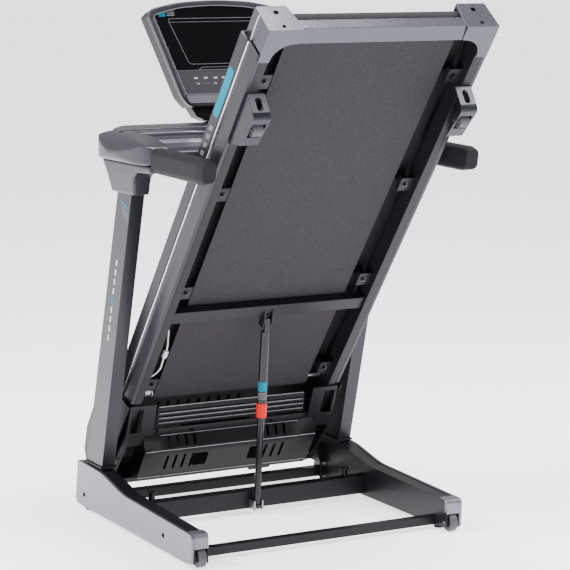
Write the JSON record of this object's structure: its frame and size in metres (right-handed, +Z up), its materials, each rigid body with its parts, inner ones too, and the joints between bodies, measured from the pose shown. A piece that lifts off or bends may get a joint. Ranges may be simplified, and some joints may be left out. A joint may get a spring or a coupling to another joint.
{
  "type": "treadmill",
  "caption": "Folding motorised treadmill, deck folded up on a sliding strut over a wheeled base, with handrails, tray and tilted console.",
  "frame": {"origin": "on the floor under the middle of the overall box, with the deck folded", "axes": "+X to the user's right, +Y forward from the handgrips to the console, +Z up"},
  "size_m": [0.84, 1.0949, 1.3986],
  "materials": {
    "base_rails": "black satin powder coat",
    "base_side_covers": "silver metallic",
    "base_end_caps": "silver satin",
    "base_cross_tubes": "black satin powder coat",
    "pivot_brackets": "black satin powder coat",
    "deck_pivot_bolts": "zinc plated",
    "stop_posts": "black",
    "base_feet": "black",
    "strut_foot_bracket": "zinc plated",
    "uprights": "gun-metal metallic",
    "upright_collars": "black",
    "pod_lowers": "dark grey textured",
    "upper_shroud": "grey metallic moulding",
    "handrail_frame": "black",
    "console_neck": "black",
    "console_back_shell": "black",
    "console_bezel": "grey metallic moulding",
    "display_glass": "black gloss",
    "key_panel": "dark grey",
    "control_board": "green board",
    "grips": "black foam rubber",
    "transport_wheel_axles": "zinc plated",
    "side_frames": "black satin powder coat",
    "deck_cross_members": "black satin powder coat",
    "rail_covers": "grey metallic",
    "chrome_strips": "polished",
    "foot_rails": "dark grey",
    "end_caps": "silver metallic moulding",
    "end_plate": "silver satin",
    "running_board": "black laminated board",
    "running_belt": "textured belt",
    "deck_cushions": "black",
    "cushion_brackets": "black satin powder coat",
    "roller_axles": "ground steel",
    "roller_seats": "black satin powder coat",
    "drive_motor": "black",
    "motor_bracket": "black satin powder coat",
    "drive_belt": "ribbed belt",
    "hood_cover": "dark grey textured",
    "belly_pan": "black textured",
    "ribbed_panel": "black textured",
    "hinge_brackets": "black satin powder coat",
    "rear_legs": "silver satin",
    "strut_head_bracket": "zinc plated",
    "sensor_lead": "white insulation",
    "motor_controller": "black",
    "power_inlet": "black",
    "switch_frame": "black",
    "strut_rod": "dark oxide",
    "strut_housing": "black gloss paint",
    "strut_lock_sleeve": "red",
    "front_roller": "turned steel",
    "rear_roller": "turned steel",
    "motor_pulley": "turned",
    "power_rocker": "red",
    "safety_key": "red",
    "transport_wheel_right": "grey tread",
    "transport_wheel_left": "grey tread",
    "leg_wheel_right": "grey",
    "leg_wheel_left": "grey"
  },
  "bodies": {
    "root": {"base_rails": "base_rails", "base_side_covers": "base_side_covers", "base_end_caps": "base_end_caps", "base_cross_tubes": "base_cross_tubes", "pivot_brackets": "pivot_brackets", "deck_pivot_bolts": "deck_pivot_bolts", "stop_posts": "stop_posts", "base_feet": "base_feet", "strut_foot_bracket": "strut_foot_bracket", "uprights": "uprights", "upright_collars": "upright_collars", "pod_lowers": "pod_lowers", "upper_shroud": "upper_shroud", "handrail_frame": "handrail_frame", "console_neck": "console_neck", "console_back_shell": "console_back_shell", "console_bezel": "console_bezel", "display_glass": "display_glass", "key_panel": "key_panel", "control_board": "control_board", "grips": "grips", "transport_wheel_axles": "transport_wheel_axles"},
    "deck": {"side_frames": "side_frames", "deck_cross_members": "deck_cross_members", "rail_covers": "rail_covers", "chrome_strips": "chrome_strips", "foot_rails": "foot_rails", "end_caps": "end_caps", "end_plate": "end_plate", "running_board": "running_board", "running_belt": "running_belt", "deck_cushions": "deck_cushions", "cushion_brackets": "cushion_brackets", "roller_axles": "roller_axles", "roller_seats": "roller_seats", "drive_motor": "drive_motor", "motor_bracket": "motor_bracket", "drive_belt": "drive_belt", "hood_cover": "hood_cover", "belly_pan": "belly_pan", "ribbed_panel": "ribbed_panel", "hinge_brackets": "hinge_brackets", "rear_legs": "rear_legs", "strut_head_bracket": "strut_head_bracket", "sensor_lead": "sensor_lead", "motor_controller": "motor_controller", "power_inlet": "power_inlet", "switch_frame": "switch_frame"},
    "strut_lower": {"strut_rod": "strut_rod"},
    "strut_upper": {"strut_housing": "strut_housing", "strut_lock_sleeve": "strut_lock_sleeve"},
    "front_roller": {"front_roller": "front_roller"},
    "rear_roller": {"rear_roller": "rear_roller"},
    "motor_pulley": {"motor_pulley": "motor_pulley"},
    "power_rocker": {"power_rocker": "power_rocker"},
    "safety_key": {"safety_key": "safety_key"},
    "transport_wheel_right": {"transport_wheel_right": "transport_wheel_right"},
    "transport_wheel_left": {"transport_wheel_left": "transport_wheel_left"},
    "leg_wheel_right": {"leg_wheel_right": "leg_wheel_right"},
    "leg_wheel_left": {"leg_wheel_left": "leg_wheel_left"}
  },
  "joints": [
    {"name": "deck_fold", "type": "hinge", "parent": "root", "child": "deck", "pos_m": [0, 0.409, 0.09], "axis": [1, 0, 0], "range_deg": [0, 53.8]},
    {"name": "strut_swing", "type": "hinge", "parent": "root", "child": "strut_lower", "pos_m": [0, 0.13, 0.028], "axis": [1, 0, 0], "range_deg": [0, 71.9]},
    {"name": "strut_slide", "type": "slide", "parent": "strut_lower", "child": "strut_upper", "axis": [0, -0.1035, 0.9946], "range_m": [-0.2285, 0]},
    {"name": "front_roller_spin", "type": "hinge", "parent": "deck", "child": "front_roller", "pos_m": [0, 0.30266, 0.33865], "axis": [1, 0, 0], "continuous": true},
    {"name": "rear_roller_spin", "type": "hinge", "parent": "deck", "child": "rear_roller", "pos_m": [0, -0.47838, 1.35652], "axis": [1, 0, 0], "continuous": true},
    {"name": "motor_spin", "type": "hinge", "parent": "deck", "child": "motor_pulley", "pos_m": [0, 0.37497, 0.18363], "axis": [1, 0, 0], "continuous": true},
    {"name": "power_rocker_press", "type": "hinge", "parent": "deck", "child": "power_rocker", "pos_m": [0.203, 0.472, 0.05389], "axis": [1, 0, 0], "range_deg": [0, 11]},
    {"name": "safety_key_pull", "type": "slide", "parent": "root", "child": "safety_key", "axis": [0, -0.9816, 0.1908], "range_m": [0, 0.03]},
    {"name": "transport_wheel_right_spin", "type": "hinge", "parent": "root", "child": "transport_wheel_right", "pos_m": [0.371, -0.268, 0.026], "axis": [1, 0, 0], "continuous": true},
    {"name": "leg_wheel_right_spin", "type": "hinge", "parent": "deck", "child": "leg_wheel_right", "pos_m": [0.292, -0.42302, 1.10531], "axis": [1, 0, 0], "continuous": true},
    {"name": "transport_wheel_left_spin", "type": "hinge", "parent": "root", "child": "transport_wheel_left", "pos_m": [-0.371, -0.268, 0.026], "axis": [1, 0, 0], "continuous": true},
    {"name": "leg_wheel_left_spin", "type": "hinge", "parent": "deck", "child": "leg_wheel_left", "pos_m": [-0.292, -0.42302, 1.10531], "axis": [1, 0, 0], "continuous": true}
  ],
  "couplings": [
    {"joint": "strut_swing", "follows": "deck_fold", "ratio": 1.3356},
    {"joint": "strut_slide", "follows": "deck_fold", "m_per_rad": -0.24311},
    {"joint": "rear_roller_spin", "follows": "front_roller_spin", "ratio": 1},
    {"joint": "motor_spin", "follows": "front_roller_spin", "ratio": 2.2778}
  ]
}
